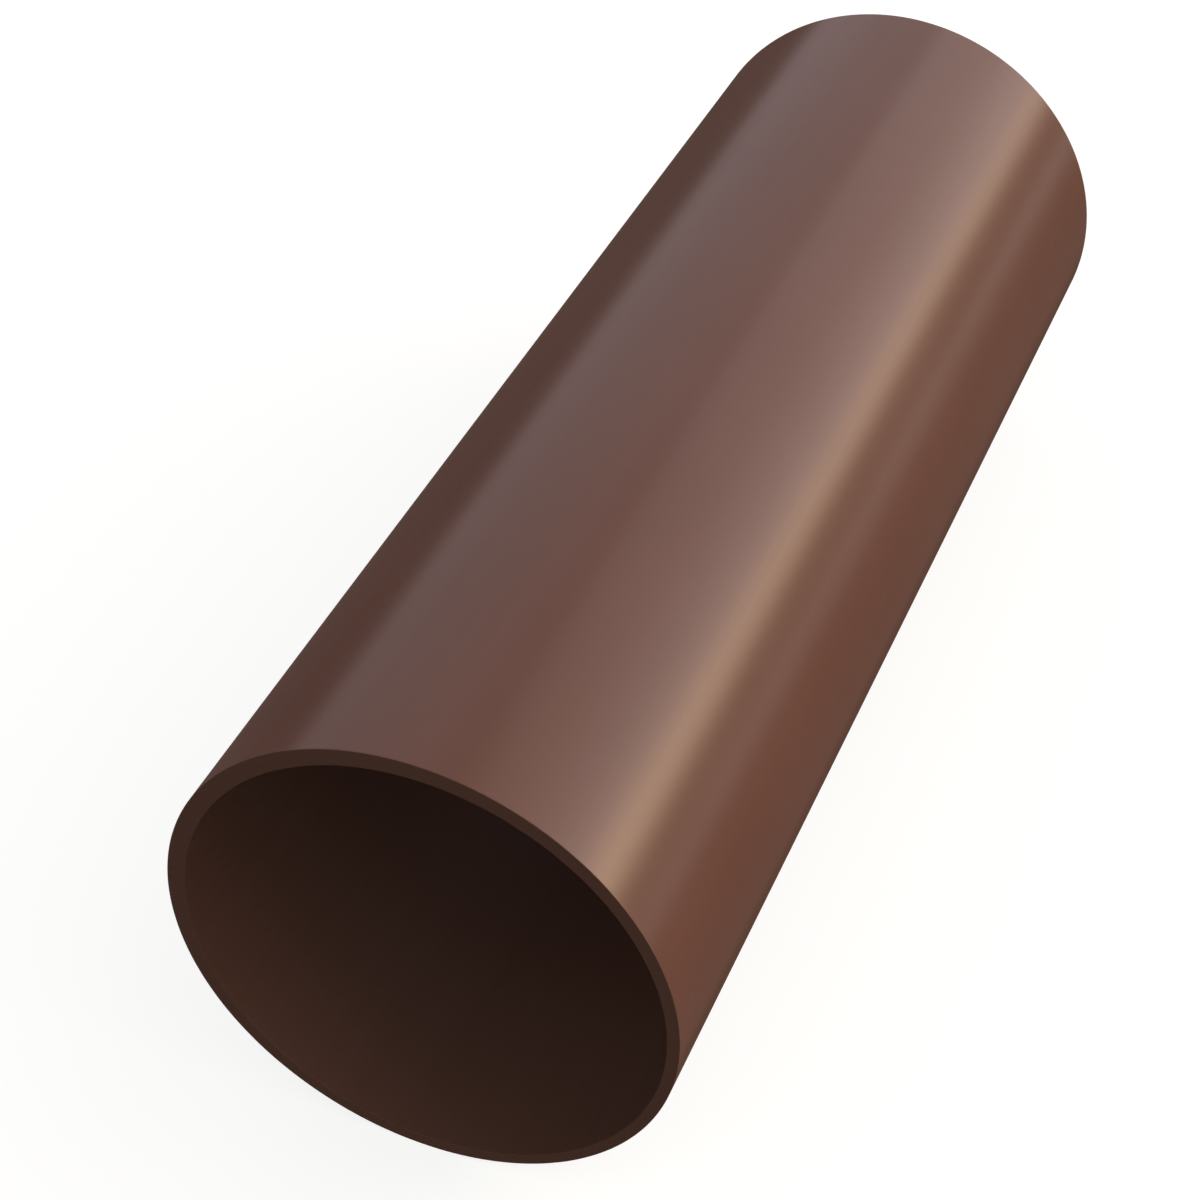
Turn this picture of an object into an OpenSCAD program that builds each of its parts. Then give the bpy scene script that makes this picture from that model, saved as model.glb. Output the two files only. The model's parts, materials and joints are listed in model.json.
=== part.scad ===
// Plastic downpipe: one short length of extruded round tube, plain at both ends.
// Millimetres. The pipe lies on its side with its axis along +Y and +Z up, and the
// origin is on the axis at mid length.

/* [Tube] */
// Outside diameter, the size that sockets and pipe clips are made for
outer_d = 110; // [50:1:200]
// Wall thickness, the same all round
wall = 3.3; // [2:0.1:6]
// Length from one cut end to the other
pipe_length = 310; // [100:5:4000]

/* [Cut ends] */
// Edge broken off each corner of the sawn end, outside and in the bore
deburr = 0.3; // [0.1:0.1:0.8]

/* [Hidden] */
$fn = 180;
outer_r = outer_d / 2;
bore_r = outer_r - wall;

// Half of the pipe cut lengthwise: the wall as a long strip beside the axis,
// starting at one end face, with its four corners deburred.
module wall_section() {
    polygon([
        [bore_r + deburr, 0],
        [outer_r - deburr, 0],
        [outer_r, deburr],
        [outer_r, pipe_length - deburr],
        [outer_r - deburr, pipe_length],
        [bore_r + deburr, pipe_length],
        [bore_r, pipe_length - deburr],
        [bore_r, deburr]
    ]);
}

// The whole pipe: the strip turned about the axis, laid along Y and centred.
module downpipe() {
    color("saddlebrown")
        rotate([-90, 0, 0])
            translate([0, 0, -pipe_length / 2])
                rotate_extrude()
                    wall_section();
}

downpipe();
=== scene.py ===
"""A short length of round brown plastic downpipe on a white floor, under soft studio light.

Everything is in metres, in the part's own frame: the pipe lies along Y, +Z is up and the
origin is on the pipe's axis at mid length.
"""
import json
import math

import bpy
import numpy as np
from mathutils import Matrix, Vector


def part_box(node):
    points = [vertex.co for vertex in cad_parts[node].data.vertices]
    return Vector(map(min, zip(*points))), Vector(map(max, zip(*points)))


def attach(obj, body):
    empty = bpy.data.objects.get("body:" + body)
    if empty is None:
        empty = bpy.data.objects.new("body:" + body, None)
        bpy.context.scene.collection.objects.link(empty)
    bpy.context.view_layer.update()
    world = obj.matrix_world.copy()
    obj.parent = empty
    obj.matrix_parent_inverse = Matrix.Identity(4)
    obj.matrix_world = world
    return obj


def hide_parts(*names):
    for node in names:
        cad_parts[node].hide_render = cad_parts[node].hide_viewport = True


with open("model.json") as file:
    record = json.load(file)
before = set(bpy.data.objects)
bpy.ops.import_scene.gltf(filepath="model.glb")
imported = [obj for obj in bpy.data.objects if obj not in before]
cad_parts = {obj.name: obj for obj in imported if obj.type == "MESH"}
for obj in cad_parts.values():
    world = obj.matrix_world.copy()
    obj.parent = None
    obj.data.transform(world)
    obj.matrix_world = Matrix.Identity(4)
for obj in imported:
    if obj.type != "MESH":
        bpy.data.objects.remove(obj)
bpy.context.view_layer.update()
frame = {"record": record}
scene = bpy.context.scene


# ==== Camera ================================================================================
# A long lens from the right of the pipe's axis, looking down on its near mouth.

aim_point = Vector((-0.0002, -0.05975, 0.01977))
azimuth = math.radians(22.26)
elevation = math.radians(39.95)
camera_distance = 0.5682
focal_length, sensor_width = 78.91, 36.0
nearest_seen, furthest_seen = 0.01, 50.0

towards_camera = Vector((
    math.sin(azimuth) * math.cos(elevation),
    -math.cos(azimuth) * math.cos(elevation),
    math.sin(elevation),
))
lens = bpy.data.cameras.new("camera")
lens.lens = focal_length
lens.sensor_width = sensor_width
lens.clip_start = nearest_seen
lens.clip_end = furthest_seen
camera = bpy.data.objects.new("camera", lens)
camera.location = aim_point + camera_distance * towards_camera
camera.rotation_mode = "QUATERNION"
camera.rotation_quaternion = (-towards_camera).to_track_quat("-Z", "Y")
scene.collection.objects.link(camera)
scene.camera = camera


# ==== The pipe ==============================================================================
# One extrusion of rigid PVC, coloured right through and sawn to length. Its outside was drawn
# through a polished sizing sleeve, so it is smooth with faint lengthwise lines. The bore
# cooled in air and is duller, and the sawn ends are matt with their edges broken.

MM = 0.001
OUTSIDE, BORE, SAWN = 0, 1, 2

box_low, box_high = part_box("downpipe")
mount_r = {
    mount["name"]: mount["dims"]["r_mm"] * MM
    for mount in frame["record"]["mounts"]
    if "r_mm" in mount["dims"]
}
wall = mount_r["outside"] - mount_r["bore"]
outer_r = min(-box_low.x, box_high.x, -box_low.z, box_high.z)
bore_r = outer_r - wall
half_length = min(-box_low.y, box_high.y)

# The mesh: columns round the pipe, and rings along each run of the wall's outline. The first
# and last steps of a straight run are this short, so that the run stays flat up to its corners.
columns = 720
outside_rings, bore_rings, end_rings, edge_rings = 46, 30, 9, 4
short_step = 0.15 * MM
angle = 2 * math.pi * np.arange(columns) / columns
random = np.random.default_rng(11)

# The die sat a little off centre, so the wall is thinnest on one side of the pipe.
off_centre = 0.76 * MM
thin_side = math.radians(-35)

# The front end was sawn out of square by this much, and is cut back most on this side.
out_of_square = 0.4 * MM
cut_back_side = math.radians(17)

# The saw blade's centre seen along the pipe, and the depth and spacing of the marks it left.
blade_x, blade_z = -95 * MM, 130 * MM
saw_depth, saw_pitch = 0.025 * MM, 2.6 * MM

# The outer edges of the ends are blunted by this width or a little more, and the bore's edges
# by a share of it. The lengthwise lines are at most this deep.
edge_width, edge_unevenness, bore_edge_share = 0.10 * MM, 0.08 * MM, 0.4
sleeve_line_depth, mandrel_line_depth = 0.010 * MM, 0.030 * MM


def ripple(fewest, most, fade):
    """A curve round the pipe that closes on itself, as one number from 0 to 1 per column.

    It is a sum of cosines with fewest to most whole waves in the turn, each with a random
    phase and a strength of waves to the power -fade, shifted and scaled to fill 0 to 1.
    """
    waves = np.arange(fewest, most + 1)[:, None]
    phase = random.uniform(0, 2 * math.pi, waves.shape)
    curve = (waves ** -fade * np.cos(waves * angle + phase)).sum(axis=0)
    return (curve - curve.min()) / np.ptp(curve)


def wall_outline(outside, bore, outer_edge, inner_edge):
    """The outline of the wall cut lengthwise, as arrays of radius and y, rings by columns.

    Four straight runs (outside, back end, bore, front end) are joined by quarter circles of
    radius outer_edge and inner_edge. The radii outside and bore and both edges are one number
    per column. The third result is each ring's finish.
    """
    face = half_length * np.ones(columns)
    outer, outer_end = outside - outer_edge, face - outer_edge
    inner, inner_end = bore + inner_edge, face - inner_edge
    radii, ys, finishes = [], [], []

    def straight(start, stop, rings, finish):
        length = abs(stop[0] - start[0]).max() + abs(stop[1] - start[1]).max()
        hold = short_step / length
        share = np.array([0, *np.linspace(hold, 1 - hold, rings - 1)])[:, None]
        radii.append(start[0] * (1 - share) + stop[0] * share)
        ys.append(start[1] * (1 - share) + stop[1] * share)
        finishes.append(np.full(rings, finish))

    def corner(centre, edge, first_turn):
        turn = (first_turn + np.arange(edge_rings) / edge_rings)[:, None] * math.pi / 2
        radii.append(centre[0] + edge * np.cos(turn))
        ys.append(centre[1] + edge * np.sin(turn))
        finishes.append(np.full(edge_rings, SAWN))

    straight((outside, -outer_end), (outside, outer_end), outside_rings, OUTSIDE)
    corner((outer, outer_end), outer_edge, 0)
    straight((outer, face), (inner, face), end_rings, SAWN)
    corner((inner, inner_end), inner_edge, 1)
    straight((bore, inner_end), (bore, -inner_end), bore_rings, BORE)
    corner((inner, -inner_end), inner_edge, 2)
    straight((inner, -face), (outer, -face), end_rings, SAWN)
    corner((outer, -outer_end), outer_edge, 3)
    return np.concatenate(radii), np.concatenate(ys), np.concatenate(finishes)


def closed_ring_mesh(name, radius, y):
    """A closed loop of points turned about the Y axis: point (i, j) is loop point i at column
    j's angle, from +X towards +Z. Each quad joins two neighbours on the loop to the next
    column's two, and both directions close on themselves. Its face points outwards where the
    loop runs towards +Y far from the axis and back near it.
    """
    rings = len(radius)
    points = np.stack([radius * np.cos(angle), y, radius * np.sin(angle)], axis=-1)
    i, j = np.meshgrid(np.arange(rings), np.arange(columns), indexing="ij")
    i_next, j_next = (i + 1) % rings, (j + 1) % columns
    corners = [(i, j), (i_next, j), (i_next, j_next), (i, j_next)]
    quads = np.stack([row * columns + column for row, column in corners], axis=-1)
    mesh = bpy.data.meshes.new(name)
    mesh.vertices.add(rings * columns)
    mesh.vertices.foreach_set("co", points.astype(np.float32).ravel())
    mesh.loops.add(quads.size)
    mesh.loops.foreach_set("vertex_index", quads.astype(np.int32).ravel())
    mesh.polygons.add(rings * columns)
    mesh.polygons.foreach_set("loop_start", np.arange(0, quads.size, 4, dtype=np.int32))
    mesh.polygons.foreach_set("use_smooth", np.ones(rings * columns, dtype=bool))
    mesh.update(calc_edges=True)
    return mesh


# The pipe is nowhere wider or longer than the plain tube: its edges are blunted by an uneven
# width, faint lengthwise lines are cut into the wall outside and in, and the ends carry arcs
# from the saw's teeth. The front end is also cut back on one side, and the back end is square.
edge_break = edge_width + edge_unevenness * ripple(3, 160, fade=0.7)
bore_edge_break = bore_edge_share * edge_break
sleeve_lines = sleeve_line_depth * ripple(5, 90, fade=0.5)
mandrel_lines = mandrel_line_depth * ripple(4, 70, fade=0.4)
pipe_r, pipe_y, finish = wall_outline(
    outside=outer_r - sleeve_lines,
    bore=bore_r + mandrel_lines + off_centre * np.cos(angle - thin_side),
    outer_edge=edge_break,
    inner_edge=bore_edge_break,
)

# The marks are full on the flat of each end and fade out over the width of the bore's edge.
from_blade = np.hypot(pipe_r * np.cos(angle) - blade_x, pipe_r * np.sin(angle) - blade_z)
saw_wave = 0.5 + 0.5 * np.cos(2 * math.pi * from_blade / saw_pitch + np.sign(pipe_y))
on_the_flat = np.maximum(1 - (half_length - abs(pipe_y)) / bore_edge_break, 0)
pipe_y -= np.sign(pipe_y) * saw_depth * saw_wave * on_the_flat
cut_back = 0.5 + 0.5 * pipe_r / outer_r * np.cos(angle - cut_back_side)
pipe_y += out_of_square * cut_back * (0.5 - 0.5 * pipe_y / half_length)

pipe_mesh = closed_ring_mesh("extruded_pipe", pipe_r, pipe_y)
pipe_mesh.polygons.foreach_set("material_index", np.repeat(finish, columns).astype(np.int32))
pipe = bpy.data.objects.new("extruded_pipe", pipe_mesh)
scene.collection.objects.link(pipe)


class Wire:
    """One output of a shader node. Arithmetic on it adds Math nodes, so that shader maths is
    written as Python expressions."""

    def __init__(self, output):
        self.output = output
        self.tree = output.id_data

    @classmethod
    def node(cls, tree, kind, inputs=None, settings=None, output=0):
        """Adds a node of that kind: its settings first, then a value or a wire into each of
        its inputs, which go by name or by number. Returns one of its outputs as a wire, or
        the node itself where it has none."""
        made = tree.nodes.new("ShaderNode" + kind)
        for name, value in (settings or {}).items():
            setattr(made, name, value)
        for name, value in (inputs or {}).items():
            if isinstance(value, cls):
                tree.links.new(value.output, made.inputs[name])
            else:
                made.inputs[name].default_value = value
        return cls(made.outputs[output]) if len(made.outputs) else made

    def math(self, operation, *others):
        inputs = dict(enumerate((self, *others)))
        return self.node(self.tree, "Math", inputs, {"operation": operation})

    def __add__(self, other):
        return self.math("ADD", other)

    def __sub__(self, other):
        return self.math("SUBTRACT", other)

    def __rsub__(self, other):
        return (self * -1).math("ADD", other)

    def __mul__(self, other):
        return self.math("MULTIPLY", other)

    def __truediv__(self, other):
        return self.math("DIVIDE", other)

    __radd__ = __add__
    __rmul__ = __mul__

    def step(self, start, stop):
        """A smooth step: 0 up to start, 1 from stop on."""
        inputs = {"Value": self, "From Min": start, "From Max": stop}
        settings = {"interpolation_type": "SMOOTHSTEP"}
        return self.node(self.tree, "MapRange", inputs, settings)

    def mix(self, low, high):
        """The colour low where this is 0, and high where it is 1. A Mix node's colours are
        its inputs 6 and 7 and its output 2."""
        inputs = {0: self, 6: low, 7: high}
        return self.node(self.tree, "Mix", inputs, {"data_type": "RGBA"}, output=2)


def new_finish(mesh, name):
    """An empty material, added to the mesh as its next one. Returns its node tree."""
    material = bpy.data.materials.new(name)
    material.use_nodes = True
    material.node_tree.nodes.clear()
    mesh.materials.append(material)
    return material.node_tree


def marks(tree, spacing, drawn=1.0, detail=3.0):
    """Noise from about -0.5 to 0.5 with marks that far apart, drawn times longer lengthwise."""
    place = Wire.node(tree, "TexCoord", output="Object")
    scale = (1 / spacing, 1 / (spacing * drawn), 1 / spacing)
    place = Wire.node(tree, "Mapping", {"Vector": place, "Scale": scale})
    return Wire.node(tree, "TexNoise", {"Vector": place, "Scale": 1.0, "Detail": detail}) - 0.5


def pvc(tree, tone, roughness, height):
    """The plastic: brown, and darker as tone goes from 0 to 1, with a relief in metres."""
    brown, darker_brown = (0.142, 0.070, 0.0575, 1), (0.119, 0.056, 0.0425, 1)
    normal = Wire.node(tree, "Bump", {"Height": height, "Distance": 1.0, "Strength": 1.0})
    inputs = {
        "Base Color": tone.mix(brown, darker_brown), "Roughness": roughness,
        "Normal": normal, "IOR": 1.5,
    }
    shader = Wire.node(tree, "BsdfPrincipled", inputs)
    Wire.node(tree, "OutputMaterial", {"Surface": shader})


# Outside: semi-gloss, with faint lines from the sizing sleeve and a slightly uneven pigment.
tree = new_finish(pipe_mesh, "pvc_outside")
bands = marks(tree, spacing=9 * MM, drawn=60)
lines = marks(tree, spacing=0.9 * MM, drawn=200, detail=4)
cloud = marks(tree, spacing=45 * MM)
pvc(
    tree,
    tone=0.5 + 0.9 * cloud + 0.5 * bands + 0.25 * lines,
    roughness=0.22 + 0.05 * bands + 0.04 * lines,
    height=0.004 * MM * bands + 0.0016 * MM * lines,
)

# Bore: the same plastic, duller and with coarser lines from the mandrel.
tree = new_finish(pipe_mesh, "pvc_bore")
bands = marks(tree, spacing=6 * MM, drawn=50)
lines = marks(tree, spacing=0.8 * MM, drawn=90, detail=4)
pvc(
    tree,
    tone=0.5 + 0.8 * bands + 0.5 * lines,
    roughness=0.42 + 0.10 * bands + 0.08 * lines,
    height=0.010 * MM * bands + 0.006 * MM * lines,
)

# Sawn ends: matt, with fine scratches along the blade's arcs and a fine grit.
tree = new_finish(pipe_mesh, "pvc_sawn")
grit = marks(tree, spacing=0.35 * MM)
scratch_spacing = 0.4 * MM
blade_centre = (blade_x, 0, blade_z)
place = Wire.node(tree, "TexCoord", output="Object")
place = Wire.node(tree, "VectorMath", {0: place, 1: blade_centre}, {"operation": "SUBTRACT"})
place = Wire.node(tree, "VectorMath", {0: place, 1: (1, 0, 1)}, {"operation": "MULTIPLY"})
from_blade = Wire.node(tree, "VectorMath", {0: place}, {"operation": "LENGTH"}, output="Value")
inputs = {"W": from_blade / scratch_spacing, "Scale": 1.0, "Detail": 3.0}
scratches = Wire.node(tree, "TexNoise", inputs, {"noise_dimensions": "1D"}) - 0.5
pvc(
    tree,
    tone=0.8 + 0.8 * grit + 0.6 * scratches,
    roughness=0.58 + 0.2 * grit,
    height=0.015 * MM * grit + 0.012 * MM * scratches,
)

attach(pipe, "root")
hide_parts("downpipe")


# ==== Floor =================================================================================
# A plain white floor, lit from within as well, so that the pipe's shadow on it stays soft and
# light. It takes a shadow and shows to the camera, and nothing else: no light bounces off it.

floor_reach = 20.0
floor_white, floor_glow = (0.32, 0.35, 0.36, 1), 0.80

floor_corners = [
    (x * floor_reach, y * floor_reach, box_low.z)
    for x, y in [(-1, -1), (1, -1), (1, 1), (-1, 1)]
]
floor_mesh = bpy.data.meshes.new("floor")
floor_mesh.from_pydata(floor_corners, [], [(0, 1, 2, 3)])
floor = bpy.data.objects.new("floor", floor_mesh)
scene.collection.objects.link(floor)
floor.visible_diffuse = False
floor.visible_glossy = False
floor.visible_shadow = False

tree = new_finish(floor_mesh, "white_floor")
inputs = {
    "Base Color": floor_white, "Roughness": 1.0, "Specular IOR Level": 0.0,
    "Emission Color": (1, 1, 1, 1), "Emission Strength": floor_glow,
}
Wire.node(tree, "OutputMaterial", {"Surface": Wire.node(tree, "BsdfPrincipled", inputs)})


# ==== Light =================================================================================
# A white tent round the pipe. A warm lamp stands low behind it on the right and glows through
# the tent above a soft lower edge, with a small card under it. Daylight falls from behind on
# the left, a low card on the left fills the shaded side, and a plain dome fills in from the
# front. It is the world's light, as a function of direction: across is the angle round the
# pipe's axis in degrees (0 right, 90 up, 180 left), and along is 1 straight behind the far
# end and -1 straight before the near end.

world = bpy.data.worlds.new("light_tent")
scene.world = world
world.use_nodes = True
tree = world.node_tree
tree.nodes.clear()

direction = Wire.node(tree, "TexCoord", output="Generated")
x, along, z = (Wire.node(tree, "SeparateXYZ", {0: direction}, output=axis) for axis in "XYZ")
across = z.math("ARCTAN2", x) * math.degrees(1)
across = across + 360 * across.math("LESS_THAN", -90.0)

# The lights behind the pipe come in over the first range of along. Over the second, each turns
# from what it is beside the pipe into what it is straight beyond the far end.
behind_range, far_start, far_full = (-0.6, 0.5), 0.5, 0.9
behind = along.step(*behind_range)
far = (along - far_start) / (far_full - far_start)
far = far.math("MAXIMUM", 0).math("MINIMUM", 1)


def turning(beside, beyond):
    """A value that is beside for light from beside the pipe, and turns evenly into beyond for
    light from straight beyond its far end."""
    return beside + (beyond - beside) * far


def fading(distance, reach):
    """1 at no distance and less further off: e to the power -distance / reach."""
    return (distance / reach * -1).math("EXPONENT")


def band(value, rise, fall):
    """A smooth rise from 0 to 1 over the range rise, times a smooth fall over the range fall."""
    return value.step(*rise) * (1 - value.step(*fall))


# The lamp shows above a soft edge, this many degrees up. The tent is hottest just above the
# edge, and the glow round that spot ends overhead.
lamp_edge, edge_softness = turning(16.0, 26.1), 15.65
heat_reach, heat_strength = turning(5.84, 3.06), turning(16.05, 3.12)
glow_reach, glow_strength = turning(44.0, 54.4), turning(2.86, 2.32)
glow_end = (turning(68.9, 92.4), turning(94.25, 100.55))
above_lamp = across - lamp_edge
lamp = above_lamp.step(-edge_softness, edge_softness)
above_lamp = above_lamp.math("MAXIMUM", 0)
heat = lamp * fading(above_lamp, heat_reach) * heat_strength
glow = lamp * fading(above_lamp, glow_reach) * glow_strength * (1 - across.step(*glow_end))

# A card stands below the lamp, as a bell curve of this height and half width in degrees.
card_height, card_width, card_strength = turning(-6.65, -8.65), 5.28, turning(0.738, 0.524)
from_card = (across - card_height) / card_width
card = fading(from_card * from_card, 2) * card_strength

# The window begins overhead and has a clear lower edge on the left.
window_start = (turning(78.2, 52.9), turning(131.3, 106.0))
window_end = (turning(160.4, 167.0), turning(170.2, 176.8))
window_strength = turning(0.484, 0.663)
window = band(across, window_start, window_end) * window_strength

# The tent's own wall is open underneath, and a little darker below the window.
shade = 0.2 * band(across, rise=(190, 218), fall=(235, 265))
tent_wall = band(across, rise=(-98.6, -74.6), fall=(254.6, 278.6)) * (1 - shade)

# A card beside the pipe fills its shaded side.
fill = band(across, rise=(150, 200), fall=(225, 265))
fill = fill * band(along, rise=(-0.15, 0.15), fall=(0.3, 0.6))

# The dome stands before the pipe. Its lower edge lies in a tipped plane, highest straight
# before the mouth and lowest on the right.
dome_tilt, edge_range, front_range = (0.234, 0.605, 0.761), (-0.565, -0.265), (-0.736, 0.043)
over_edge = dome_tilt[0] * x + dome_tilt[1] * along + dome_tilt[2] * z
dome = over_edge.step(*edge_range) * (1 - along.step(*front_range))

# Each light's strength, and its colour.
lights = [
    (behind * heat, (1.0, 0.697, 0.408)),
    (behind * glow, (1.0, 0.891, 0.866)),
    (behind * card, (1.0, 0.903, 0.776)),
    (behind * window, (1.0, 0.898, 0.953)),
    (behind * tent_wall, (0.150, 0.098, 0.080)),
    (fill, (1.0, 0.8, 0.8)),
    (dome, (0.804, 0.815, 0.727)),
]
tent = None
for strength, tint in lights:
    light = Wire.node(tree, "Background", {"Color": (*tint, 1), "Strength": strength})
    tent = Wire.node(tree, "AddShader", {0: tent, 1: light}) if tent else light
backdrop = Wire.node(tree, "Background", {"Color": (1, 1, 1, 1), "Strength": 1.0})
seen = Wire.node(tree, "LightPath", output="Is Camera Ray")
surface = Wire.node(tree, "MixShader", {0: seen, 1: tent, 2: backdrop})
Wire.node(tree, "OutputWorld", {"Surface": surface})

scene.view_settings.view_transform = "Standard"
